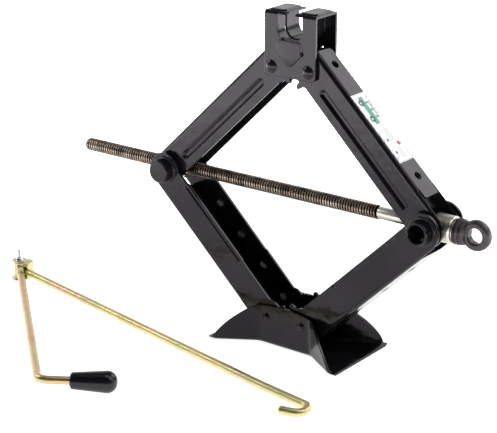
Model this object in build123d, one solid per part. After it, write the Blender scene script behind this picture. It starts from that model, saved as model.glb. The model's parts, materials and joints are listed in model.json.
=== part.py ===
from build123d import *
from math import acos, asin, atan2, cos, degrees, hypot, pi, radians, sin, tan
import os

# Scissor jack with a folding crank handle beside it.
# Units are millimetres. +X runs along the lead screw towards its eye, +Y to the back, +Z up.
# The origin is the centre of the base plate's underside.

# ---- driving dimensions of the linkage ----
ARM_LENGTH = 180.0            # rivet to pivot, the same for all four arms
REST_ANGLE = 44.0             # arm above horizontal in the modelled position
RIVET_X = 20.8                # half the rivet spacing, also the pitch radius of the toothed ends
BASE_RIVET_Z = 29.2
SHEET = 2.5                   # pressed steel sheet

PIVOT_X = RIVET_X + ARM_LENGTH * cos(radians(REST_ANGLE))
PIVOT_Z = BASE_RIVET_Z + ARM_LENGTH * sin(radians(REST_ANGLE))
SADDLE_RIVET_Z = BASE_RIVET_Z + 2 * ARM_LENGTH * sin(radians(REST_ANGLE))

# ---- fits ----
RUNNING = 0.06                # radial clearance of a pin in its hole
LOOSE = 0.3                   # clearance where two bodies only pass each other

# ---- half widths across the jack, outer faces ----
SADDLE_HALF = 17.5
BASE_HALF = 23.9
UPPER_HALF = (13.6, 15.8)     # upper arm at its rivet and at its pivot
LOWER_HALF = (21.0, 22.0)     # lower arm at its rivet and at its pivot
JOGGLE = 1.0                  # lower arm steps inwards by this near the base rivet

# ---- arm channel, seen from the side ----
UPPER_WEB, UPPER_EDGE = 18.0, -15.5
LOWER_WEB, LOWER_EDGE = 19.0, -13.4
UPPER_WEB_SPAN = (-13.0, 158.0)
LOWER_WEB_SPAN = (2.0, 161.0)
WEB_CORNERS = (8.0, 2.5)      # plan radius of the web corners at its rivet end and its pivot end
WEB_END_ROLL = 4.0            # roll of the web's rivet end, seen from the side
EAR_RADIUS = 17.6
BEND_RADIUS = 4.4
WEB_HOLE_RADIUS = 3.9
UPPER_WEB_HOLES = (8.0, 51.0, 93.5, 136.0)
LOWER_WEB_HOLES = (14.0, 53.0, 92.0, 131.0)

# ---- recesses pressed into the flanges: (start, end, low, high, depth, corner radius) ----
UPPER_BEAD = (18.8, 156.2, -8.2, 2.2, 2.6, 5.15)
LOWER_RECESS = (57.0, 154.0, -40.0, -8.5, 1.2, 5.0)
PRESS_TAPER = 45.0
COLLAR_RADIUS, COLLAR_HEIGHT = 14.3, 1.4      # rolled rim round each pivot hole of the lower arms

# ---- toothed ends ----
TEETH_ON_CIRCLE = 12
PRESSURE_ANGLE = 25.0
TOOTH_MODULE = 2 * RIVET_X / TEETH_ON_CIRCLE
TIP_RADIUS = RIVET_X + 0.8 * TOOTH_MODULE
ROOT_RADIUS = RIVET_X - TOOTH_MODULE
BACKLASH = 0.5
RIGHT_TEETH = (185, 215, 245, 275)     # tooth directions from the arm's own axis
LEFT_TEETH = (170, 200, 230, 260)      # half a pitch round, so the two arms mesh

# ---- rivets and trunnions ----
BASE_RIVET_RADIUS, BASE_HEAD_RADIUS, BASE_HEAD_HEIGHT = 3.6, 4.6, 2.4
SADDLE_RIVET_RADIUS, SADDLE_HEAD_RADIUS, SADDLE_HEAD_HEIGHT = 4.6, 6.4, 3.2
NUT_END_RADIUS, NUT_BODY_RADIUS, NUT_BODY_HALF = 11.3, 13.0, 12.8
TUBE_RADIUS, TUBE_BORE_RADIUS = 11.2, 8.7
TRUNNION_HALF = 31.6

# ---- lead screw, thrust bearing and eye, positions along X from the right pivot ----
THREAD_RADIUS, SHANK_RADIUS = 6.7, 5.8
SCREW_LEFT = -271.5 - PIVOT_X
SHANK_START = 93.0 - PIVOT_X
BLOCK_SPAN, BLOCK_RADIUS = (4.0, 22.4), 13.0
POCKET_START, POCKET_RADIUS = 17.8, 10.8
RACE_THICKNESS, BALL_RADIUS, BALL_RING, BALL_COUNT = 1.2, 1.5, 8.4, 12
WASHER_SPAN, WASHER_RADIUS = (24.4, 26.6), 12.3
HUB_RADIUS, HUB_STEP, HUB_NECK_RADIUS, HUB_BEAD_X = 12.2, 30.0, 10.6, 32.2
EYE_X, EYE_RADIUS, EYE_HOLE_RADIUS, EYE_THICKNESS = 43.8, 14.3, 7.3, 9.4
NECK_END, SHANK_END = 34.4, 32.5
ROLL_PIN_X, ROLL_PIN_RADIUS = 28.4, 1.5

# ---- saddle ----
SADDLE_X = 28.8
SADDLE_TOP = SADDLE_RIVET_Z + 52.6
SADDLE_BOTTOM = SADDLE_RIVET_Z - 8.8
SLOT_HALF, SLOT_BOTTOM = 14.2, SADDLE_RIVET_Z + 25.4
SLOT_CORNER = 11.5
TOP_SLOT_HALF = 5.8
FRONT_LIP, BACK_LIP, LIP_THICKNESS = 12.0, 20.0, 2.2
SADDLE_ROLL = 3.2
PAD_HEIGHT = 1.3                       # raised pad pressed into each half of the top
BOSS_HEIGHT, BOSS_RADIUS = 1.5, 100.0  # soft swelling under each slot

# ---- base ----
BASE_KNEE_X = 31.0
BASE_KNEE_RADIUS = 14.0
BASE_FLARE_END = (67.5, 45.8)
BASE_CORNER = (75.4, 46.6)
BASE_LEAN = 0.22                       # outward lean of the flared walls at their ends
BASE_BEND = 2.6
BASE_WALL_TOP = 42.4

# ---- crank handle, lying in front of the jack ----
HINGE = (-337.0, -45.5)
HINGE_Z = 12.0
ROD_RADIUS = 4.0
HOOK_BEND_RADIUS = 10.0
ROD_KINK = (38.0, -110.5)
HOOK_START = (92.0, -117.7)
HOOK_TIP_LENGTH = 11.5
HOOK_TURN = 158.0
CRANK_BEND = (-122.9, -237.0)
CRANK_LEG_END = (-66.3, -200.6)
CRANK_BEND_RADIUS = 12.0
GRIP_LENGTH, GRIP_SMALL_RADIUS, GRIP_RADIUS = 43.5, 7.8, 11.2
YOKE_RADIUS, YOKE_END, YOKE_NECK_HALF = 6.2, 15.4, 4.6
YOKE_LOBE, YOKE_LOBE_RADIUS = (5.5, 5.5), 7.0
YOKE_SHEET, YOKE_HALF_HEIGHT = 2.2, 9.2
HINGE_PIN_RADIUS, STEM_RADIUS, STEM_TOP = 3.0, 1.3, 21.0
WASHER_RADIUS_SMALL, WASHER_THICKNESS = 7.8, 1.2
HEAD_DISC_RADIUS, DOME_RADIUS = 9.0, 4.2
KNUCKLE_RADIUS, NECK_HALF, NECK_LENGTH = 5.8, 2.9, 18.0

LABEL_SPAN, LABEL_HALF, LABEL_THICKNESS = (42.5, 119.0), 11.0, 0.2

os.makedirs("parts", exist_ok=True)


def write(shape, node):
    """Write one node, keeping only its solids."""
    solids = shape.solids()
    export_step(solids[0] if len(solids) == 1 else Compound(solids), f"parts/{node}.step")


def box(x, y, z):
    """Axis-aligned box from three (low, high) pairs."""
    size = (x[1] - x[0], y[1] - y[0], z[1] - z[0])
    return Pos((x[0] + x[1]) / 2, (y[0] + y[1]) / 2, (z[0] + z[1]) / 2) * Box(*size)


def rod_x(radius, x0, x1):
    """Cylinder along X."""
    return Pos((x0 + x1) / 2, 0, 0) * Rot(0, 90, 0) * Cylinder(radius, x1 - x0)


def rod_y(radius, y0, y1):
    """Cylinder along Y."""
    return Pos(0, (y0 + y1) / 2, 0) * Rot(90, 0, 0) * Cylinder(radius, y1 - y0)


def side_prism(face, y0, y1):
    """Extrude a side-view face, drawn in X and Z, from y0 to y1."""
    return Pos(0, y1, 0) * extrude(Plane.XZ * face, y1 - y0)


# ---------------------------------------------------------------- arms

def tooth(direction):
    """One involute tooth of the pressed gear sector, drawn about the rivet."""
    base_radius = RIVET_X * cos(radians(PRESSURE_ANGLE))

    def involute(angle):
        return tan(angle) - angle

    def flank(radius):
        at_pitch = (pi * TOOTH_MODULE / 2 - BACKLASH) / (2 * RIVET_X)
        local = acos(min(1.0, base_radius / radius))
        return at_pitch + involute(radians(PRESSURE_ANGLE)) - involute(local)

    def point(radius, angle):
        return (radius * cos(angle), radius * sin(angle))

    middle = (base_radius + TIP_RADIUS) / 2
    wide = flank(base_radius)
    inner = ROOT_RADIUS - 2
    outline = [
        Line(point(inner, -wide), point(base_radius, -wide)),
        ThreePointArc(point(base_radius, -wide), point(middle, -flank(middle)),
                      point(TIP_RADIUS, -flank(TIP_RADIUS))),
        ThreePointArc(point(TIP_RADIUS, -flank(TIP_RADIUS)), point(TIP_RADIUS, 0),
                      point(TIP_RADIUS, flank(TIP_RADIUS))),
        ThreePointArc(point(TIP_RADIUS, flank(TIP_RADIUS)), point(middle, flank(middle)),
                      point(base_radius, wide)),
        Line(point(base_radius, wide), point(inner, wide)),
        Line(point(inner, wide), point(inner, -wide)),
    ]
    return Rot(0, 0, direction) * make_face(Wire(outline))


def channel_blank(halves, top, radius):
    """Tapered block under a web at height top, its two long top edges rounded."""
    before, after = -40.0, ARM_LENGTH + 40.0
    slope = (halves[1] - halves[0]) / ARM_LENGTH
    near, far = halves[0] + slope * before, halves[0] + slope * after
    plan = make_face(Polyline((before, -near), (after, -far), (after, far), (before, near), close=True))
    block = extrude(Pos(0, 0, -50) * plan, top + 50)
    long_edges = [e for e in block.edges() if e.length > 200 and e.center().Z > top - 0.01]
    return fillet(long_edges, radius)


def press(recess, halves, side, growth=0.0):
    """Punch that presses a tapered, round-cornered recess into one flange; side is -1 front, +1 back."""
    start, end, low, high, depth, corner = recess
    lean = degrees(atan2(halves[1] - halves[0], ARM_LENGTH))
    middle = (start + end) / 2
    outline = Rectangle(end - start + 2 * growth, high - low + 2 * growth)
    outline = fillet(outline.vertices(), corner + growth)
    half = halves[0] + (halves[1] - halves[0]) * middle / ARM_LENGTH
    punch = extrude(outline, depth + growth + 1.0, taper=PRESS_TAPER)
    punch = Pos(middle, -half - 1.0, (low + high) / 2) * Rot(0, 0, -lean) * Rot(-90, 0, 0) * punch
    return punch if side < 0 else mirror(punch, about=Plane.XZ)


def web_trim(halves, web, span):
    """What is cut away beyond the round-cornered ends of the web, between the flanges."""
    above = channel_blank((halves[0] - SHEET, halves[1] - SHEET), web + 20, 0.5)
    kept = Pos((span[0] + span[1]) / 2, 0) * Rectangle(span[1] - span[0], 2 * (halves[0] - SHEET))
    kept = fillet(kept.vertices().sort_by(Axis.X)[:2], WEB_CORNERS[0])
    kept = fillet(kept.vertices().sort_by(Axis.X)[-2:], WEB_CORNERS[1])
    kept = extrude(kept, 60) + box((span[0] + 20, span[1] - 20), (-60, 60), (-60, 60))
    return (above & box((-60, ARM_LENGTH + 60), (-60, 60), (0, 60))) - kept


def arm(web, edge, halves, web_span, teeth, holes, recess, rivet_hole, pivot_hole, joggle=0.0):
    """Channel-section arm with its rivet at the origin, its pivot on +X and its web at +Z."""
    outline = Pos(ARM_LENGTH / 2, (web + edge) / 2) * Rectangle(ARM_LENGTH, web - edge)
    if web_span[0] < 0:
        end = Pos(web_span[0] / 2, web / 2) * Rectangle(-web_span[0], web)
        outline += fillet(end.vertices().sort_by(Axis.X)[:2].sort_by(Axis.Y)[-1:], WEB_END_ROLL)
    outline += Circle(ROOT_RADIUS) + Pos(ARM_LENGTH, 0) * Circle(EAR_RADIUS)
    for direction in teeth:
        outline += tooth(direction)
    limits = side_prism(outline, -40, 40)
    inner_halves = (halves[0] - SHEET, halves[1] - SHEET)
    cavity = channel_blank(inner_halves, web - SHEET, BEND_RADIUS - SHEET)
    shell = (limits & channel_blank(halves, web, BEND_RADIUS)) - cavity
    ends = box((-60, web_span[0] + 10), (-60, 60), (-60, 60))
    ends += box((web_span[1] - 10, 260), (-60, 60), (-60, 60))
    shell -= web_trim(halves, web, web_span) & ends
    for side in (-1, 1):
        shell += press(recess, halves, side, SHEET) & cavity & limits
        shell -= press(recess, halves, side)
    for u in holes:
        shell -= Pos(u, 0, web) * Cylinder(WEB_HOLE_RADIUS, 3 * SHEET)
    if joggle:
        zone = make_face(Polyline((-9.0, -25.0), (36.0, 22.5), (-60, 60), (-60, -60), close=True))
        inner = halves[0] - SHEET
        for side in (-1, 1):
            low, high = sorted((side * (inner - joggle), side * (inner + 0.2)))
            shell += side_prism(zone & outline, low, high)
            low, high = sorted((side * (halves[0] - joggle), side * 40))
            shell -= side_prism(zone, low, high)
    shell -= rod_y(rivet_hole, -60, 60)
    shell -= Pos(ARM_LENGTH, 0, 0) * rod_y(pivot_hole, -60, 60)
    return shell


def place_upper(shape, right):
    """Put an arm from its own frame on the saddle rivet; the left one is the mirror image."""
    placed = Pos(RIVET_X, 0, SADDLE_RIVET_Z) * Rot(0, REST_ANGLE, 0) * shape
    return placed if right else mirror(placed, about=Plane.YZ)


def place_lower(shape, right):
    """The same on the base rivet, with the web facing down."""
    flipped = mirror(shape, about=Plane.XY)
    placed = Pos(RIVET_X, 0, BASE_RIVET_Z) * Rot(0, -REST_ANGLE, 0) * flipped
    return placed if right else mirror(placed, about=Plane.YZ)


def collar(half):
    """Rolled rim standing proud of a lower arm's flange round its pivot hole."""
    rim = Pos(ARM_LENGTH, 0, 0) * rod_y(COLLAR_RADIUS, half - 1.0, half + COLLAR_HEIGHT)
    rim = fillet(rim.edges().filter_by(GeomType.CIRCLE).sort_by(Axis.Y)[-1:], 0.9)
    return rim + mirror(rim, about=Plane.XZ)


def build_arms():
    for right, name, teeth in ((True, "right", RIGHT_TEETH), (False, "left", LEFT_TEETH)):
        pivot_hole = (TUBE_RADIUS if right else NUT_END_RADIUS) + RUNNING
        saddle_hole = SADDLE_RIVET_RADIUS + (RUNNING if right else LOOSE)
        upper = arm(UPPER_WEB, UPPER_EDGE, UPPER_HALF, UPPER_WEB_SPAN, teeth, UPPER_WEB_HOLES,
                    UPPER_BEAD, saddle_hole, pivot_hole)
        write(place_upper(upper, right), f"upper_{name}_arm")
        lower = arm(LOWER_WEB, LOWER_EDGE, LOWER_HALF, LOWER_WEB_SPAN, teeth, LOWER_WEB_HOLES,
                    LOWER_RECESS, BASE_RIVET_RADIUS + RUNNING, pivot_hole, JOGGLE)
        lower += collar(LOWER_HALF[1]) - Pos(ARM_LENGTH, 0, 0) * rod_y(pivot_hole, -60, 60)
        write(place_lower(lower, right), f"lower_{name}_arm")
    label = box(LABEL_SPAN, (-LABEL_HALF, LABEL_HALF), (UPPER_WEB, UPPER_WEB + LABEL_THICKNESS))
    write(place_upper(label, True), "instruction_label")


# ---------------------------------------------------------------- saddle and base

def saddle_shell():
    """Inverted channel, open upwards through a lipped slot in each plate and one across the top."""
    blank = box((-SADDLE_X, SADDLE_X), (-SADDLE_HALF, SADDLE_HALF), (SADDLE_BOTTOM, SADDLE_TOP))
    shell = fillet(blank.edges().filter_by(Axis.X).sort_by(Axis.Z)[-2:], SADDLE_ROLL)
    inside = SADDLE_HALF - SHEET
    hollow = box((-60, 60), (-inside, inside), (SADDLE_BOTTOM - 1, SADDLE_TOP - SHEET))
    shell -= fillet(hollow.edges().filter_by(Axis.X).sort_by(Axis.Z)[-2:], SADDLE_ROLL - SHEET)

    slot_top = SADDLE_TOP - SHEET
    middle = (slot_top + SLOT_BOTTOM) / 2

    def slot_face(growth):
        face = Pos(0, middle + 2) * Rectangle(2 * (SLOT_HALF + growth), slot_top - SLOT_BOTTOM + 4 + 2 * growth)
        return fillet(face.vertices().sort_by(Axis.Y)[:2], SLOT_CORNER + growth)

    under_top = box((-60, 60), (-60, 60), (0, slot_top))
    for side, depth in ((-1, FRONT_LIP), (1, BACK_LIP)):
        outer = side * SADDLE_HALF
        lip_end = outer - side * depth
        low, high = sorted((outer - side * 1.0, lip_end))
        shell += side_prism(slot_face(LIP_THICKNESS), low, high) & under_top
        low, high = sorted((outer + side, lip_end - side))
        shell -= side_prism(slot_face(0), low, high) & under_top
    shell -= box((-TOP_SLOT_HALF, TOP_SLOT_HALF), (-60, 60), (slot_top - 6, SADDLE_TOP + 5))
    return shell


def saddle_pads():
    """Flat raised pad on each half of the top."""
    low, high = TOP_SLOT_HALF + 1.6, SADDLE_X - 1.6
    outline = Pos((low + high) / 2, 0, SADDLE_TOP) * Rectangle(high - low, 2 * SADDLE_HALF - 5.0)
    pad = extrude(fillet(outline.vertices(), 5.0), PAD_HEIGHT, taper=55)
    return pad + mirror(pad, about=Plane.YZ)


def saddle_boss(side):
    """Soft shield-shaped swelling under the slot, standing proud of the plate."""
    apex = SADDLE_RIVET_Z + 0.6
    top = SLOT_BOTTOM + 1.0
    shield = make_face(Polyline((-17.0, top), (17.0, top), (14.0, top - 12), (0, apex),
                                (-14.0, top - 12), close=True))
    shield = fillet(shield.vertices(), 4.5)
    centre_y = BOSS_RADIUS - SADDLE_HALF - BOSS_HEIGHT
    swelling = Pos(0, centre_y, (apex + top) / 2 + 2.0) * Sphere(BOSS_RADIUS)
    placed = side_prism(shield, -SADDLE_HALF - 3, -SADDLE_HALF + 0.5) & swelling
    return placed if side < 0 else mirror(placed, about=Plane.XZ)


def build_saddle():
    shell = saddle_shell() + saddle_pads()
    for side in (-1, 1):
        shell += saddle_boss(side)
    corners = shell.edges().filter_by(Axis.Y).filter_by(
        lambda e: abs(e.center().Z - SADDLE_BOTTOM) < 0.01 and abs(abs(e.center().X) - SADDLE_X) < 0.01)
    shell = fillet(corners, 5.0)
    for x in (-RIVET_X, RIVET_X):
        shell -= Pos(x, 0, SADDLE_RIVET_Z) * rod_y(SADDLE_RIVET_RADIUS, -60, 60)
    shell -= Pos(14.0, 0, SADDLE_RIVET_Z + 16.0) * rod_y(1.9, -60, 60)
    write(shell, "saddle")


def waisted_plan(inset, lean):
    """Plan of the base trough, narrow at its waist and flaring towards square tabs at the ends."""
    rise = BASE_FLARE_END[1] - BASE_HALF
    run = BASE_FLARE_END[0] - BASE_KNEE_X
    slope = (rise + lean) / run
    shift = inset * hypot(1, slope)
    near = (BASE_KNEE_X + (shift - inset) / slope, BASE_HALF - inset)
    end_y = BASE_FLARE_END[1] + lean - inset
    flare = (BASE_FLARE_END[0] + (shift - inset) / slope, end_y)
    corner = (BASE_CORNER[0] + 20, end_y + BASE_CORNER[1] - BASE_FLARE_END[1])
    quarter = [near, flare, corner]
    front = [(-x, -y) for x, y in reversed(quarter)] + [(x, -y) for x, y in quarter]
    back = [(x, y) for x, y in reversed(quarter)] + [(-x, y) for x, y in quarter]
    plan = make_face(Polyline(*front, *back, close=True))
    plan = fillet([v for v in plan.vertices() if abs(v.X) < 50], BASE_KNEE_RADIUS + inset)
    return fillet([v for v in plan.vertices() if 60 < abs(v.X) < 80], 8.0 - inset)


def waisted_block(inset, floor, bend):
    """Volume of the base trough, its flared walls leaning outwards towards the ends."""
    height = 60.0
    block = loft([Pos(0, 0, floor) * waisted_plan(inset, BASE_LEAN * floor),
                  Pos(0, 0, floor + height) * waisted_plan(inset, BASE_LEAN * (floor + height))], ruled=True)
    lower = [e for e in block.edges() if e.bounding_box().max.Z < floor + 0.01
             and abs(e.center().X) < BASE_CORNER[0] + 19]
    return fillet(lower, bend)


def build_base():
    shell = waisted_block(0.0, 0.0, BASE_BEND + SHEET) - waisted_block(SHEET, SHEET, BASE_BEND)
    end_x, crest = BASE_CORNER[0], BASE_WALL_TOP
    half_profile = (Line((0, 0), (end_x, 0)) + Line((end_x, 0), (end_x, SHEET))
                    + Line((end_x, SHEET), (end_x - 4.9, SHEET))
                    + ThreePointArc((end_x - 4.9, SHEET), (55.2, 22.0), (36.0, 37.8))
                    + ThreePointArc((36.0, 37.8), (18.4, 41.3), (0, crest)) + Line((0, crest), (0, 0)))
    profile = side_prism(make_face(half_profile), -80, 80)
    shell &= profile + mirror(profile, about=Plane.YZ)
    for x in (-RIVET_X, RIVET_X):
        shell -= Pos(x, 0, BASE_RIVET_Z) * rod_y(BASE_RIVET_RADIUS, -60, 60)
    write(shell, "base_plate")


def headed_pin(shank, half, head, height):
    """Rivet across the jack with a domed head at each end."""
    dome_radius = (head ** 2 + height ** 2) / (2 * height)
    dome = Pos(0, half + height - dome_radius, 0) * Sphere(dome_radius)
    dome &= box((-50, 50), (half, half + 50), (-50, 50))
    return rod_y(shank, -half, half) + dome + mirror(dome, about=Plane.XZ)


def build_rivets():
    groups = (("base_rivets", BASE_RIVET_Z, BASE_HALF, BASE_RIVET_RADIUS, BASE_HEAD_RADIUS, BASE_HEAD_HEIGHT),
              ("saddle_rivets", SADDLE_RIVET_Z, SADDLE_HALF, SADDLE_RIVET_RADIUS, SADDLE_HEAD_RADIUS,
               SADDLE_HEAD_HEIGHT))
    for node, z, half, shank, head, height in groups:
        pins = [Pos(x, 0, z) * headed_pin(shank, half, head, height) for x in (-RIVET_X, RIVET_X)]
        write(Compound([p.solid() for p in pins]), node)


# ---------------------------------------------------------------- trunnions and screw

def at_pivot(shape, right=True):
    return Pos(PIVOT_X if right else -PIVOT_X, 0, PIVOT_Z) * shape


def build_trunnions():
    nut = rod_y(NUT_END_RADIUS, -TRUNNION_HALF, TRUNNION_HALF)
    nut = chamfer(nut.edges().filter_by(GeomType.CIRCLE), 0.8)
    nut += rod_y(NUT_BODY_RADIUS, -NUT_BODY_HALF, NUT_BODY_HALF)
    nut -= rod_x(THREAD_RADIUS + RUNNING, -30, 30)
    write(at_pivot(nut, False), "left_trunnion_nut")

    tube = rod_y(TUBE_RADIUS, -TRUNNION_HALF, TRUNNION_HALF)
    tube -= rod_y(TUBE_BORE_RADIUS, -40, 40)
    tube = chamfer(tube.edges().filter_by(GeomType.CIRCLE), 0.6)
    tube -= rod_x(SHANK_RADIUS + RUNNING, -30, 30)
    write(at_pivot(tube), "right_trunnion_tube")

    inner_y = UPPER_HALF[1] + LOOSE
    outer_y = LOWER_HALF[1] - SHEET - LOOSE
    for right, name, radius in ((False, "left", NUT_END_RADIUS), (True, "right", TUBE_RADIUS)):
        ring = rod_y(radius + 3.6, inner_y, outer_y) - rod_y(radius, 0, 60)
        pair = [at_pivot(ring, right).solid(), at_pivot(mirror(ring, about=Plane.XZ), right).solid()]
        write(Compound(pair), f"{name}_pivot_spacers")


def build_screw():
    screw = rod_x(THREAD_RADIUS, SCREW_LEFT, SHANK_START)
    screw = chamfer(screw.edges().filter_by(GeomType.CIRCLE), 1.2)
    screw += rod_x(SHANK_RADIUS, SHANK_START - 2, SHANK_END)
    screw -= Pos(ROLL_PIN_X, 0, 0) * Cylinder(ROLL_PIN_RADIUS, 40)
    write(at_pivot(screw), "lead_screw")

    block = rod_x(BLOCK_RADIUS, *BLOCK_SPAN)
    block = fillet(block.edges().filter_by(GeomType.CIRCLE).sort_by(Axis.X)[-1:], 2.2)
    block -= rod_y(TUBE_RADIUS, -40, 40)
    block -= rod_x(SHANK_RADIUS + RUNNING, 0, 40)
    block -= rod_x(POCKET_RADIUS, POCKET_START, 40)
    write(at_pivot(block), "thrust_block")

    bore = rod_x(SHANK_RADIUS + RUNNING, 0, 40)
    ring = POCKET_RADIUS - 0.1
    back = POCKET_START + RACE_THICKNESS
    balls_x = back + BALL_RADIUS
    write(at_pivot(rod_x(ring, POCKET_START, back) - bore), "rear_race")
    spots = [PolarLocations(BALL_RING, BALL_COUNT).locations[i] for i in range(BALL_COUNT)]
    balls = [Pos(balls_x, 0, 0) * Rot(0, 90, 0) * spot * Sphere(BALL_RADIUS - 0.02) for spot in spots]
    write(Compound([at_pivot(b).solid() for b in balls]), "thrust_balls")
    cage = rod_x(BALL_RING + 2.1, balls_x - 0.6, balls_x + 0.6) - rod_x(BALL_RING - 2.1, 0, 40)
    for spot in spots:
        cage -= Pos(balls_x, 0, 0) * Rot(0, 90, 0) * spot * Sphere(BALL_RADIUS + 0.1)
    write(at_pivot(cage), "ball_cage")
    front = balls_x + BALL_RADIUS
    write(at_pivot(rod_x(ring - 0.3, front + 0.05, WASHER_SPAN[0]) - bore), "front_race")
    washer = rod_x(WASHER_RADIUS, *WASHER_SPAN)
    washer = fillet(washer.edges().filter_by(GeomType.CIRCLE), 0.6)
    write(at_pivot(washer - rod_x(SHANK_RADIUS, 0, 40)), "bronze_thrust_washer")


def build_eye():
    width = EYE_RADIUS - EYE_HOLE_RADIUS
    section = Pos((EYE_RADIUS + EYE_HOLE_RADIUS) / 2, 0) * Rectangle(width, EYE_THICKNESS)
    section = fillet(section.vertices().sort_by(Axis.X)[-2:], 3.6)
    section = fillet(section.vertices().sort_by(Axis.X)[:2], 2.2)
    ring = Pos(EYE_X, 0, 0) * revolve(section, Axis.Y)
    hub = rod_x(HUB_RADIUS, WASHER_SPAN[1], HUB_STEP)
    hub = fillet(hub.edges().filter_by(GeomType.CIRCLE), 0.9)
    neck = rod_x(HUB_NECK_RADIUS, HUB_STEP - 1, NECK_END)
    neck = fillet(neck.edges().filter_by(GeomType.CIRCLE).sort_by(Axis.X)[-1:], 3.4)
    bead = Pos(HUB_BEAD_X, 0, 0) * Rot(0, 90, 0) * Torus(HUB_NECK_RADIUS, 0.9)
    eye = ring + hub + neck + bead
    eye -= Pos(EYE_X, 0, 0) * rod_y(EYE_HOLE_RADIUS, -20, 20)
    eye -= rod_x(SHANK_RADIUS, 20, SHANK_END)
    eye -= Pos(ROLL_PIN_X, 0, 0) * Cylinder(ROLL_PIN_RADIUS, 40)
    write(at_pivot(eye), "screw_eye")
    pin = Pos(ROLL_PIN_X, 0, 0) * Cylinder(ROLL_PIN_RADIUS, 2 * HUB_RADIUS - 1.0)
    write(at_pivot(pin), "eye_roll_pin")


# ---------------------------------------------------------------- crank handle

def direction(start, end):
    """Distance and heading in plan from one point to another."""
    run = (end[0] - start[0], end[1] - start[1])
    return hypot(*run), degrees(atan2(run[1], run[0]))


def bar_along(path, radius):
    """Round bar along a smooth path."""
    start = Plane(origin=path @ 0, z_dir=path % 0)
    return sweep(start * Circle(radius), path=path)


def at_hinge(shape, heading=0.0):
    return Pos(*HINGE, HINGE_Z) * Rot(0, 0, heading) * shape


def rod_droop():
    """Tilt that brings the hook down to the floor."""
    reach = direction(HINGE, ROD_KINK)[0] + direction(ROD_KINK, HOOK_START)[0] + HOOK_BEND_RADIUS
    return degrees(asin((HINGE_Z - ROD_RADIUS - 0.1) / reach))


def build_hook_rod():
    run, heading = direction(HINGE, ROD_KINK)
    tail, tail_heading = direction(ROD_KINK, HOOK_START)
    kink = radians(tail_heading - heading)
    start = (run + tail * cos(kink), tail * sin(kink), 0)
    shaft = FilletPolyline((YOKE_END - YOKE_SHEET, 0, 0), (run, 0, 0), start, radius=220)
    bend = JernArc(start, (cos(kink), sin(kink), 0), HOOK_BEND_RADIUS, -HOOK_TURN)
    tip = Line(bend @ 1, bend @ 1 + (bend % 1) * HOOK_TIP_LENGTH)
    rod = bar_along(Wire([*shaft.edges(), bend.edge(), tip.edge()]), ROD_RADIUS)
    rod += Plane(origin=tip @ 1, z_dir=tip % 1) * Pos(0, 0, 0.5) * Cone(ROD_RADIUS, ROD_RADIUS - 1.0, 1.0)
    write(at_hinge(Rot(0, rod_droop(), 0) * rod, heading), "hook_rod")


def yoke_plan(inset):
    """Outline of the yoke about its pin, with a full lobe behind it and a nose towards the rod."""
    nose = YOKE_NECK_HALF
    circles = [Circle(YOKE_RADIUS - inset), Pos(*YOKE_LOBE) * Circle(YOKE_LOBE_RADIUS - inset),
               Pos(YOKE_END - nose, 0) * Circle(nose - inset)]
    return make_hull([edge for circle in circles for edge in circle.edges()])


def build_hinge():
    heading = direction(HINGE, ROD_KINK)[1]
    strip = extrude(Pos(0, 0, -YOKE_HALF_HEIGHT) * yoke_plan(0), 2 * YOKE_HALF_HEIGHT)
    rims = strip.edges().filter_by(lambda e: abs(abs(e.center().Z) - YOKE_HALF_HEIGHT) < 0.01)
    strip = fillet(rims, 1.6)
    gap = YOKE_HALF_HEIGHT - YOKE_SHEET
    strip -= extrude(Pos(0, 0, -gap) * yoke_plan(YOKE_SHEET), 2 * gap)
    strip -= Cylinder(KNUCKLE_RADIUS + 0.7, 2 * gap)
    strip -= box((-30, 0.5), (-30, 30), (-gap, gap)) + box((-30, 30), (-30, -1.6), (-gap, gap))
    strip -= Cylinder(HINGE_PIN_RADIUS, 60)
    strip -= Rot(0, rod_droop(), 0) * rod_x(ROD_RADIUS, YOKE_END - YOKE_SHEET, 30)
    write(at_hinge(strip, heading), "hinge_yoke")

    foot = extrude(Pos(0, 0, -HINGE_Z) * Circle(HEAD_DISC_RADIUS), HINGE_Z - YOKE_HALF_HEIGHT)
    foot = fillet(foot.edges(), 1.0)
    top = YOKE_HALF_HEIGHT + WASHER_THICKNESS
    pin = Pos(0, 0, (top - YOKE_HALF_HEIGHT) / 2) * Cylinder(HINGE_PIN_RADIUS, top + YOKE_HALF_HEIGHT)
    cap = (Pos(0, 0, top - 0.6) * Sphere(DOME_RADIUS)) & box((-9, 9), (-9, 9), (top, 40))
    write(at_hinge(foot + pin + cap - Cylinder(STEM_RADIUS, 80)), "hinge_rivet")
    washer = Pos(0, 0, top - WASHER_THICKNESS / 2) * Cylinder(WASHER_RADIUS_SMALL, WASHER_THICKNESS)
    washer = chamfer(washer.edges().filter_by(GeomType.CIRCLE), 0.3)
    write(at_hinge(washer - Cylinder(HINGE_PIN_RADIUS, 60)), "hinge_washer")
    stem = Pos(0, 0, (STEM_TOP - HINGE_Z + 0.6) / 2) * Cylinder(STEM_RADIUS, STEM_TOP + HINGE_Z - 0.6)
    button = Pos(0, 0, STEM_TOP - 1.4) * Cylinder(STEM_RADIUS + 0.5, 2.8)
    stem += fillet(button.edges().filter_by(GeomType.CIRCLE), 0.5)
    write(at_hinge(stem), "rivet_stem")


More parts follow.
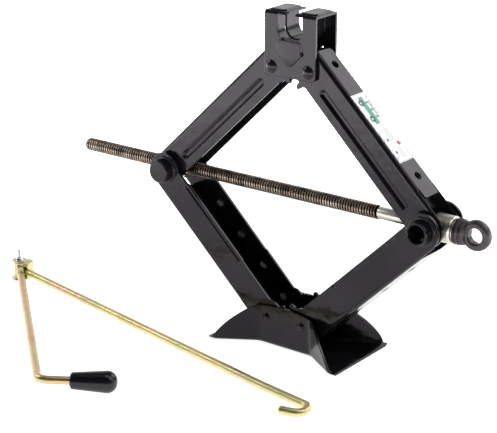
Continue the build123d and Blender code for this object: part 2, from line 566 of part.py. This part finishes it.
def build_crank():
    heading = direction(HINGE, CRANK_BEND)[1]
    leg_heading = direction(CRANK_BEND, CRANK_LEG_END)[1]
    run = direction(HINGE, CRANK_BEND)[0]
    leg = direction(CRANK_BEND, CRANK_LEG_END)[0]
    turn = radians(leg_heading - heading)
    path = FilletPolyline((NECK_LENGTH - 1, 0, 0), (run, 0, 0),
                          (run + leg * cos(turn), leg * sin(turn), 0), radius=CRANK_BEND_RADIUS)
    bar = bar_along(path, ROD_RADIUS)
    half = YOKE_HALF_HEIGHT - YOKE_SHEET - LOOSE
    neck = box((0, NECK_LENGTH + 2), (-NECK_HALF, NECK_HALF), (-half, half))
    far = neck.edges().filter_by(Axis.Y).filter_by(lambda e: e.center().X > NECK_LENGTH)
    neck = chamfer(far, half - 3.0, 5.0)
    bar += neck + Cylinder(KNUCKLE_RADIUS, 2 * half)
    bar -= Cylinder(HINGE_PIN_RADIUS + RUNNING, 60)
    write(at_hinge(bar, heading), "crank_arm")

    depth = GRIP_LENGTH - 6.5
    half_length = GRIP_LENGTH / 2
    body = Rot(0, 90, 0) * Cone(GRIP_SMALL_RADIUS, GRIP_RADIUS, GRIP_LENGTH)
    rims = body.edges().filter_by(GeomType.CIRCLE).sort_by(Axis.X)
    body = chamfer(rims[:1], 1.3)
    rims = body.edges().filter_by(GeomType.CIRCLE).sort_by(Axis.X)
    body = fillet(rims[-1:], 9.4)
    body -= rod_x(ROD_RADIUS + RUNNING, -half_length - 1, depth - half_length + 0.2)
    grip = Pos(half_length - depth, 0, 0) * body
    write(Pos(*CRANK_LEG_END, HINGE_Z) * Rot(0, 0, leg_heading) * grip, "crank_grip")


build_arms()
build_saddle()
build_base()
build_rivets()
build_trunnions()
build_screw()
build_eye()
build_hook_rod()
build_hinge()
build_crank()
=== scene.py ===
import json
import math

import bpy
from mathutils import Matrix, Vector


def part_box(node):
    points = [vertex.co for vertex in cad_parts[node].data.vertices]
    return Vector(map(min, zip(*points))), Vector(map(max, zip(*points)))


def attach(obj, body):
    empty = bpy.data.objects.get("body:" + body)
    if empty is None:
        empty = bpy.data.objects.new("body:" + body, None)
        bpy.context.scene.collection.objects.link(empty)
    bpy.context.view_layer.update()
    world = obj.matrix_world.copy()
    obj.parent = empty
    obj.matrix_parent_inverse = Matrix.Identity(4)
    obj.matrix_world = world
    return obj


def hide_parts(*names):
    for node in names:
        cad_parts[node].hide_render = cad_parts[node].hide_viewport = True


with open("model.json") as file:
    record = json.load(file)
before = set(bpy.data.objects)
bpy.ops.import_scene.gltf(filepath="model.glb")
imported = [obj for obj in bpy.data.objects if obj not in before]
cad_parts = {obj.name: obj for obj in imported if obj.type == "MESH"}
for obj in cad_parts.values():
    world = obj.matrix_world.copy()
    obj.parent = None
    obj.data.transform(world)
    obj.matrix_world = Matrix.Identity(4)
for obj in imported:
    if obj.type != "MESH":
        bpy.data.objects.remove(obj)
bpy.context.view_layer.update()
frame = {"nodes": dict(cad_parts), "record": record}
nodes = frame["nodes"]
MM = 0.001

# thread and shank of the lead screw
PITCH = 3.0 * MM
ROOT_RADIUS = 5.2 * MM
SHANK_RADIUS = 5.8 * MM
THREAD_STOP = 57.2 * MM          # from the right trunnion's axis to where the thread runs out
THREAD_TAPER = 2.2 * MM          # length over which the thread starts and runs out
START_REACH = 0.78               # crest radius at the thread's pointed start, as a share of the full one
START_TURNS = 0.9                # part of a turn that lies before the screw's end and is cut off
END_WEAR = 0.6                   # how rubbed the screw's end face is, from 0 to 1
SHANK_OVERLAP = 2.0 * MM         # how far the shank reaches under the thread's end
THREAD_SEGMENTS, SHANK_SEGMENTS = 32, 48
THREAD_PROFILE = ((0.0, 0.0), (0.30, 0.0), (0.42, 1.0), (0.88, 1.0))   # (share of pitch, 0 root to 1 crest)

LABEL_THICKNESS = 0.2 * MM

# studio: floor, lights and camera, in metres and degrees
FLOOR_HALF, FLOOR_DROP = 6.0, 0.2 * MM
GLOW_NEAR = (0.5, 0.9)           # distance from the origin and floor glow there
GLOW_FAR = (1.0, 3.6)
LIGHTS = (                       # name, azimuth, elevation, distance, size, radiance
    ("back_box", 157, 36, 2.2, (1.5, 1.1), 2.4),
    ("top_box", 20, 80, 2.0, (0.9, 0.5), 3.0),
    ("left_box", -70, 35, 2.2, (0.5, 0.9), 4.0),
    ("right_box", 95, 50, 2.0, (1.0, 1.0), 2.4),
)
CAMERA_BEARING, CAMERA_DISTANCE = (37.43, 19.32), 1.6147
CAMERA_LENS, CAMERA_SENSOR, CAMERA_CLIP = 118.94, 36.0, 50.0
AIM_LEFT_OF_BASE, AIM_HEIGHT = 0.0608, 0.1178


def joint_place(name):
    """Where a joint's axis passes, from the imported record."""
    joint = next(j for j in frame["record"]["behaviour"]["joints"] if j["name"] == name)
    return Vector(joint["pos_m"])


# ---------------------------------------------------------------- material helpers

def new_material(name, colour, roughness, metallic=0.0, **sockets):
    """Principled material; the extra sockets are set by name with _ for spaces."""
    material = bpy.data.materials.new(name)
    material.use_nodes = True
    shader = material.node_tree.nodes["Principled BSDF"]
    shader.inputs["Base Color"].default_value = (*colour, 1.0)
    shader.inputs["Roughness"].default_value = roughness
    shader.inputs["Metallic"].default_value = metallic
    for key, value in sockets.items():
        shader.inputs[key.replace("_", " ")].default_value = value
    return material, material.node_tree, shader


def noise(tree, scale, detail=3.0, stretch=(1.0, 1.0, 1.0)):
    """Noise texture in object coordinates, optionally stretched along an axis."""
    coords = tree.nodes.new("ShaderNodeTexCoord")
    mapping = tree.nodes.new("ShaderNodeMapping")
    mapping.inputs["Scale"].default_value = stretch
    texture = tree.nodes.new("ShaderNodeTexNoise")
    texture.inputs["Scale"].default_value = scale
    texture.inputs["Detail"].default_value = detail
    tree.links.new(coords.outputs["Object"], mapping.inputs["Vector"])
    tree.links.new(mapping.outputs["Vector"], texture.inputs["Vector"])
    return texture.outputs["Fac"]


def ramp(tree, value, stops):
    """Colour ramp from (position, colour) pairs."""
    node = tree.nodes.new("ShaderNodeValToRGB")
    elements = node.color_ramp.elements
    while len(elements) < len(stops):
        elements.new(0.5)
    for element, (position, colour) in zip(elements, stops):
        element.position = position
        element.color = (*colour, 1.0)
    tree.links.new(value, node.inputs["Fac"])
    return node.outputs["Color"]


def remap(tree, value, low, high):
    """Spread a noise value from low to high."""
    node = tree.nodes.new("ShaderNodeMapRange")
    node.inputs["From Min"].default_value = 0.3
    node.inputs["From Max"].default_value = 0.7
    node.inputs["To Min"].default_value = low
    node.inputs["To Max"].default_value = high
    tree.links.new(value, node.inputs["Value"])
    return node.outputs["Result"]


def mix_colours(tree, first, second, factor, blend="MIX"):
    """Blend two colours; each input may be a constant or another node's output."""
    node = tree.nodes.new("ShaderNodeMix")
    node.data_type = "RGBA"
    node.blend_type = blend
    inputs = [s for s in node.inputs if s.type == "RGBA"]
    outputs = [s for s in node.outputs if s.type == "RGBA"]
    for socket, value in ((node.inputs["Factor"], factor), (inputs[0], first), (inputs[1], second)):
        if isinstance(value, tuple):
            socket.default_value = (*value, 1.0)
        elif isinstance(value, float):
            socket.default_value = value
        else:
            tree.links.new(value, socket)
    return outputs[0]


def bump(tree, shader, value, distance, strength=1.0, edge=0.0):
    """Fine relief, with sharp edges rounded to the given radius when one is given."""
    node = tree.nodes.new("ShaderNodeBump")
    node.inputs["Distance"].default_value = distance
    node.inputs["Strength"].default_value = strength
    tree.links.new(value, node.inputs["Height"])
    if edge:
        bevel = tree.nodes.new("ShaderNodeBevel")
        bevel.samples = 6
        bevel.inputs["Radius"].default_value = edge
        tree.links.new(bevel.outputs["Normal"], node.inputs["Normal"])
    tree.links.new(node.outputs["Normal"], shader.inputs["Normal"])


def paint(name, gloss):
    """Glossy black enamel over pressed sheet: faint orange peel and uneven gloss."""
    material, tree, shader = new_material(name, (0.006, 0.0055, 0.007), 0.2, Specular_IOR_Level=gloss,
                                          Specular_Tint=(1.0, 0.93, 1.0, 1.0))
    shade = ramp(tree, noise(tree, 14.0, 5.0), [(0.35, (0.002, 0.0018, 0.0023)),
                                                (0.65, (0.011, 0.0101, 0.0125))])
    tree.links.new(shade, shader.inputs["Base Color"])
    tree.links.new(remap(tree, noise(tree, 45.0, 4.0), 0.08, 0.18), shader.inputs["Roughness"])
    bump(tree, shader, noise(tree, 60.0, 3.0), 0.0012, 0.4, 1.0 * MM)
    return material


def turned(name, colour, rough, stretch=(12.0, 1.0, 1.0)):
    """Machined metal with fine marks round the X axis, closer together for a larger first stretch."""
    material, tree, shader = new_material(name, colour, rough, 1.0)
    marks = noise(tree, 160.0, 4.0, stretch)
    tree.links.new(remap(tree, marks, rough * 0.75, rough * 1.3), shader.inputs["Roughness"])
    bump(tree, shader, marks, 0.0001, 0.4, 0.3 * MM)
    return material


def forged():
    """Dark phosphated forging with a fine, uneven skin."""
    material, tree, shader = new_material("forged_eye", (0.055, 0.047, 0.049), 0.4, 0.5)
    tree.links.new(remap(tree, noise(tree, 120.0, 4.0), 0.28, 0.46), shader.inputs["Roughness"])
    bump(tree, shader, noise(tree, 230.0, 4.0), 0.0004, 0.5, 0.5 * MM)
    return material


def zinc(name, stops, rough):
    """Passivated zinc plate: its colour drifts between a few interference tints."""
    material, tree, shader = new_material(name, stops[0][1], rough, 1.0)
    tree.links.new(ramp(tree, noise(tree, 9.0, 3.0), stops), shader.inputs["Base Color"])
    tree.links.new(remap(tree, noise(tree, 150.0), rough * 0.8, rough * 1.3), shader.inputs["Roughness"])
    return material


def grip_plastic():
    """Glossy black moulded plastic."""
    material, tree, shader = new_material("grip_plastic", (0.006, 0.006, 0.009), 0.24)
    bump(tree, shader, noise(tree, 300.0, 2.0), 0.0001, 0.2)
    return material


def math_node(tree, operation, *values, clamp=False):
    node = tree.nodes.new("ShaderNodeMath")
    node.operation = operation
    node.use_clamp = clamp
    for socket, value in zip(node.inputs, values):
        if isinstance(value, (int, float)):
            socket.default_value = value
        else:
            tree.links.new(value, socket)
    return node.outputs["Value"]


def thread_material():
    """Dark oxide, darkest at the groove roots, and rubbed tan crests that also carry a painted highlight,
    told apart by the mesh's crest attribute.
    """
    material, tree, shader = new_material("screw_thread", (0.05, 0.035, 0.025), 0.36, 0.85)
    attribute = tree.nodes.new("ShaderNodeAttribute")
    attribute.attribute_name = "crest"
    crest = attribute.outputs["Fac"]
    # tan on the crests is rubbed wear and also a painted highlight; the groove roots go near black
    wear_and_highlight = math_node(tree, "MULTIPLY", crest, remap(tree, noise(tree, 90.0, 4.0), 0.6, 1.0))
    colour = ramp(tree, wear_and_highlight, [(0.0, (0.012, 0.009, 0.008)), (0.55, (0.05, 0.035, 0.025)),
                               (1.0, (0.50, 0.40, 0.33))])
    tree.links.new(colour, shader.inputs["Base Color"])
    return material


GOLD = [(0.36, (0.74, 0.60, 0.28)), (0.46, (0.82, 0.69, 0.36)), (0.54, (0.66, 0.64, 0.32)),
        (0.64, (0.80, 0.56, 0.38))]
ROSE = [(0.36, (0.62, 0.42, 0.24)), (0.46, (0.72, 0.50, 0.30)), (0.54, (0.66, 0.56, 0.30)),
        (0.64, (0.70, 0.42, 0.32))]
CLEAR = [(0.35, (0.62, 0.66, 0.60)), (0.65, (0.74, 0.76, 0.72))]

materials = {
    "black_paint": paint("black_paint", 0.3),
    "screw_steel": thread_material(),
    "bright_steel": turned("bright_steel", (0.60, 0.58, 0.52), 0.36, (3.0, 1.0, 1.0)),
    "forged_eye": forged(),
    "bronze": turned("bronze", (0.05, 0.038, 0.03), 0.4),
    "yellow_zinc": zinc("yellow_zinc", GOLD, 0.38),
    "clear_zinc": zinc("clear_zinc", CLEAR, 0.24),
    "grip_plastic": grip_plastic(),
}


def dress(obj, material):
    obj.data.materials.clear()
    obj.data.materials.append(material)


def add_mesh(name, vertices, faces, material, body, smooth=True):
    mesh = bpy.data.meshes.new(name)
    mesh.from_pydata([tuple(v) for v in vertices], [], [tuple(f) for f in faces])
    mesh.validate()
    mesh.update()
    if smooth:
        mesh.shade_smooth()
    obj = bpy.data.objects.new(name, mesh)
    bpy.context.scene.collection.objects.link(obj)
    dress(obj, material)
    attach(obj, body)
    return obj


# ---------------------------------------------------------------- CAD nodes

# shaded copy of the black paint: its weaker reflection is painted shade on the base and its rivets
shaded_base_paint = paint("shaded_base_paint", 0.26)
own_material = {"base_plate": shaded_base_paint, "base_rivets": shaded_base_paint,
                "crank_arm": zinc("crank_zinc", ROSE, 0.34)}
slot_of = {p["node"]: p["material_slot"] for p in frame["record"]["subparts"]}
for name, obj in nodes.items():
    slot = slot_of[name]
    if slot in materials:
        dress(obj, own_material.get(name, materials[slot]))

# ---------------------------------------------------------------- lead screw with its thread

def build_screw():
    """Trapezoidal thread wound as one helical strip, then the smooth shank."""
    low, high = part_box("lead_screw")
    axis_z = (low.z + high.z) / 2
    crest_radius = (high.z - low.z) / 2
    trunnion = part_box("right_trunnion_tube")
    thread_end = (trunnion[0].x + trunnion[1].x) / 2 - THREAD_STOP
    steps = int((thread_end - low.x) / PITCH) * THREAD_SEGMENTS
    vertices, crest = [], []
    for i in range(steps + 1):
        angle = 2 * math.pi * i / THREAD_SEGMENTS
        for offset, level in THREAD_PROFILE:
            x = low.x + PITCH * (i / THREAD_SEGMENTS + offset - START_TURNS)
            x = min(thread_end, max(low.x, x))
            reach = min(1.0, START_REACH + (1.0 - START_REACH) * (x - low.x) / THREAD_TAPER)
            runout = min(1.0, max(0.0, (thread_end - x) / THREAD_TAPER))
            full = ROOT_RADIUS + (crest_radius - ROOT_RADIUS) * level * runout
            radius = min(full, crest_radius * reach)
            vertices.append((x, radius * math.cos(angle), axis_z + radius * math.sin(angle)))
            crest.append(level)
    width = len(THREAD_PROFILE)
    faces = []
    for i in range(steps):
        for j in range(width):
            a = i * width + j
            b = a + width
            if j < width - 1:
                faces.append((a, a + 1, b + 1, b))
            elif i + THREAD_SEGMENTS < steps:
                c = (i + THREAD_SEGMENTS) * width
                faces.append((a, c, c + width, b))
    cap = len(vertices)
    vertices.append((low.x, 0.0, axis_z))
    crest.append(END_WEAR)
    first_ring = [i * width + width - 1 for i in range(THREAD_SEGMENTS)]
    for i in range(THREAD_SEGMENTS):
        faces.append((cap, first_ring[(i + 1) % THREAD_SEGMENTS], first_ring[i]))
    screw = add_mesh("screw_thread", vertices, faces, materials["screw_steel"], "screw", smooth=False)
    attribute = screw.data.attributes.new("crest", "FLOAT", "POINT")
    attribute.data.foreach_set("value", crest)
    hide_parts("lead_screw")

    rings = [(thread_end - SHANK_OVERLAP, ROOT_RADIUS), (thread_end, SHANK_RADIUS),
             (high.x, SHANK_RADIUS), (high.x, 0.0)]
    count = SHANK_SEGMENTS
    turns = [2 * math.pi * k / count for k in range(count)]
    vertices = [(x, r * math.cos(turn), axis_z + r * math.sin(turn)) for x, r in rings for turn in turns]
    faces = [(i * count + k, i * count + (k + 1) % count, (i + 1) * count + (k + 1) % count,
              (i + 1) * count + k) for i in range(len(rings) - 1) for k in range(count)]
    shank = add_mesh("screw_shank", vertices, faces, materials["bright_steel"], "screw")


build_screw()

# ---------------------------------------------------------------- label

def label_material():
    """White film with a plain green pictogram, a red dot and short marks; no lettering."""
    material, tree, shader = new_material("label_film", (0.80, 0.82, 0.82), 0.35)
    uv = tree.nodes.new("ShaderNodeUVMap")
    uv.uv_map = "label"
    split = tree.nodes.new("ShaderNodeSeparateXYZ")
    tree.links.new(uv.outputs["UV"], split.inputs["Vector"])
    along, across = split.outputs["X"], split.outputs["Y"]

    def rectangle(u0, u1, v0, v1):
        """1 inside the rectangle, in millimetres from the label's upper end and centre line."""
        inside = [math_node(tree, "GREATER_THAN", along, u0), math_node(tree, "LESS_THAN", along, u1),
                  math_node(tree, "GREATER_THAN", across, v0), math_node(tree, "LESS_THAN", across, v1)]
        value = inside[0]
        for other in inside[1:]:
            value = math_node(tree, "MULTIPLY", value, other)
        return value

    def disc(u, v, radius):
        du = math_node(tree, "SUBTRACT", along, u)
        dv = math_node(tree, "SUBTRACT", across, v)
        squares = [math_node(tree, "MULTIPLY", d, d) for d in (du, dv)]
        square = math_node(tree, "ADD", *squares)
        return math_node(tree, "LESS_THAN", square, radius * radius)

    def union(*values):
        value = values[0]
        for other in values[1:]:
            value = math_node(tree, "MAXIMUM", value, other)
        return value

    def without(value, hole):
        return math_node(tree, "SUBTRACT", value, hole, clamp=True)

    def paint_over(colour, mask, ink):
        return mix_colours(tree, colour, ink, mask)

    white, green, pale = (0.88, 0.89, 0.90), (0.05, 0.30, 0.21), (0.74, 0.82, 0.79)
    red, black, grey = (0.50, 0.04, 0.07), (0.02, 0.02, 0.02), (0.40, 0.40, 0.42)
    panel = rectangle(1.5, 37.0, -8.5, 6.0)
    body = union(rectangle(4.0, 34.0, -4.0, 2.0), rectangle(10.0, 28.0, 1.0, 7.0))
    windows = union(rectangle(12.0, 18.0, 2.2, 5.6), rectangle(20.0, 26.0, 2.2, 5.6))
    wheels = union(disc(10.0, -4.0, 3.4), disc(28.0, -4.0, 3.4))
    hubs = union(disc(10.0, -4.0, 1.4), disc(28.0, -4.0, 1.4))
    border = without(rectangle(0.5, 76.0, -10.5, 10.5), rectangle(1.0, 75.5, -10.0, 10.0))
    colour = paint_over(white, border, grey)
    colour = paint_over(colour, panel, pale)
    colour = paint_over(colour, without(body, windows), green)
    colour = paint_over(colour, without(wheels, hubs), black)
    colour = paint_over(colour, disc(58.0, 6.5, 2.3), red)
    colour = paint_over(colour, union(disc(52.0, -5.0, 1.5), disc(66.0, -5.0, 1.5)), black)
    for start in (4.0, 8.5, 13.0, 17.5, 22.0):
        colour = paint_over(colour, rectangle(start, start + 3.0, 8.0, 9.0), red)
    for start in (41.0, 49.0, 62.0, 69.0):
        colour = paint_over(colour, rectangle(start, start + 4.0, -9.6, -9.0), black)
    for line in (-1.5, 1.0, 3.5):
        colour = paint_over(colour, rectangle(40.0, 54.0, line, line + 0.8), grey)
        colour = paint_over(colour, rectangle(61.0, 73.0, line, line + 0.8), grey)
    tree.links.new(colour, shader.inputs["Base Color"])
    return material


def build_label():
    """Flat card on the upper right arm's web, on the CAD label's place and tilt."""
    low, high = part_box("instruction_label")
    run = high.x - low.x
    pivot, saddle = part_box("right_trunnion_tube"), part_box("saddle_rivets")
    angle = math.atan2((saddle[0].z + saddle[1].z - pivot[0].z - pivot[1].z) / 2,
                       (pivot[0].x + pivot[1].x) / 2 - joint_place("saddle_turn").x)
    length = (run - LABEL_THICKNESS * math.sin(angle)) / math.cos(angle)
    width = high.y - low.y
    along = Vector((math.cos(angle), 0, -math.sin(angle)))
    out = Vector((math.sin(angle), 0, math.cos(angle)))
    start = Vector((low.x, 0, high.z - LABEL_THICKNESS * math.cos(angle))) + out * LABEL_THICKNESS
    corners = [start + along * u + Vector((0, v, 0)) for u, v in
               ((0, -width / 2), (length, -width / 2), (length, width / 2), (0, width / 2))]
    under = [c - out * LABEL_THICKNESS for c in corners]
    faces = [(0, 1, 2, 3), (7, 6, 5, 4), (0, 4, 5, 1), (1, 5, 6, 2), (2, 6, 7, 3), (3, 7, 4, 0)]
    card = add_mesh("label_card", corners + under, faces, label_material(),
                    "upper_right_arm", smooth=False)
    layer = card.data.uv_layers.new(name="label")
    for loop in card.data.loops:
        offset = card.data.vertices[loop.vertex_index].co - corners[0]
        layer.data[loop.index].uv = (offset.dot(along) / MM, offset.y / MM - width / MM / 2)
    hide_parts("instruction_label")


build_label()

# ---------------------------------------------------------------- floor, lights and camera

def add_floor():
    """White floor whose glow grows away from the object, as in a lit studio sweep."""
    material, tree, shader = new_material("floor", (0.86, 0.86, 0.86), 0.9, Specular_IOR_Level=0.1,
                                          Emission_Color=(1.0, 1.0, 1.0, 1.0))
    coords = tree.nodes.new("ShaderNodeTexCoord")
    reach = tree.nodes.new("ShaderNodeVectorMath")
    reach.operation = "LENGTH"
    tree.links.new(coords.outputs["Object"], reach.inputs[0])
    glow = tree.nodes.new("ShaderNodeMapRange")
    glow.inputs["From Min"].default_value, glow.inputs["To Min"].default_value = GLOW_NEAR
    glow.inputs["From Max"].default_value, glow.inputs["To Max"].default_value = GLOW_FAR
    tree.links.new(reach.outputs["Value"], glow.inputs["Value"])
    tree.links.new(glow.outputs["Result"], shader.inputs["Emission Strength"])
    corners = [(x * FLOOR_HALF, y * FLOOR_HALF, -FLOOR_DROP)
               for x, y in ((-1, -1), (1, -1), (1, 1), (-1, 1))]
    mesh = bpy.data.meshes.new("floor")
    mesh.from_pydata(corners, [], [(0, 1, 2, 3)])
    floor = bpy.data.objects.new("floor", mesh)
    bpy.context.scene.collection.objects.link(floor)
    dress(floor, material)


def bearing(azimuth, elevation):
    """Unit vector towards that bearing in degrees; azimuth 0 is in front, along -Y, and 90 is +X."""
    az, el = math.radians(azimuth), math.radians(elevation)
    return Vector((math.cos(el) * math.sin(az), -math.cos(el) * math.cos(az), math.sin(el)))


def add_light(name, azimuth, elevation, distance, size, radiance, aim):
    """Soft box facing the aim point, as bright as its radiance says from any distance."""
    light = bpy.data.lights.new(name, "AREA")
    light.shape = "RECTANGLE"
    light.size, light.size_y = size
    light.energy = math.pi * size[0] * size[1] * radiance
    obj = bpy.data.objects.new(name, light)
    obj.location = aim + bearing(azimuth, elevation) * distance
    obj.rotation_euler = (-bearing(azimuth, elevation)).to_track_quat("-Z", "Y").to_euler()
    bpy.context.scene.collection.objects.link(obj)


def add_world():
    """Studio surroundings: white below and behind, dark above the horizon on the near side."""
    world = bpy.data.worlds.new("studio")
    world.use_nodes = True
    tree = world.node_tree
    coords = tree.nodes.new("ShaderNodeTexCoord")
    split = tree.nodes.new("ShaderNodeSeparateXYZ")
    tree.links.new(coords.outputs["Generated"], split.inputs["Vector"])
    sky = ramp(tree, split.outputs["Z"], [(0.0, (0.98, 0.98, 0.99)), (0.56, (0.90, 0.90, 0.92)),
                                          (0.72, (0.16, 0.16, 0.165)), (1.0, (0.08, 0.08, 0.084))])
    dark_side = bearing(20, 0)
    towards = math_node(tree, "ADD", math_node(tree, "MULTIPLY", split.outputs["X"], dark_side.x),
                        math_node(tree, "MULTIPLY", split.outputs["Y"], dark_side.y))
    dimming = ramp(tree, towards, [(0.0, (1.0, 1.0, 1.0)), (0.25, (0.05, 0.05, 0.052))])
    light = mix_colours(tree, sky, dimming, 1.0, "MULTIPLY")
    tree.links.new(light, tree.nodes["Background"].inputs["Color"])
    bpy.context.scene.world = world


def add_camera(aim):
    back = bearing(*CAMERA_BEARING)
    camera = bpy.data.cameras.new("camera")
    camera.lens = CAMERA_LENS
    camera.sensor_width = CAMERA_SENSOR
    camera.clip_end = CAMERA_CLIP
    obj = bpy.data.objects.new("camera", camera)
    obj.location = aim + back * CAMERA_DISTANCE
    obj.rotation_euler = (-back).to_track_quat("-Z", "Y").to_euler()
    bpy.context.scene.collection.objects.link(obj)
    bpy.context.scene.camera = obj


base_low, base_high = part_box("base_plate")
base_centre = (base_low + base_high) / 2
aim = Vector((base_centre.x - AIM_LEFT_OF_BASE, base_centre.y, AIM_HEIGHT))
add_floor()
add_world()
for light in LIGHTS:
    add_light(*light, aim)
add_camera(aim)
bpy.context.scene.view_settings.view_transform = "Standard"
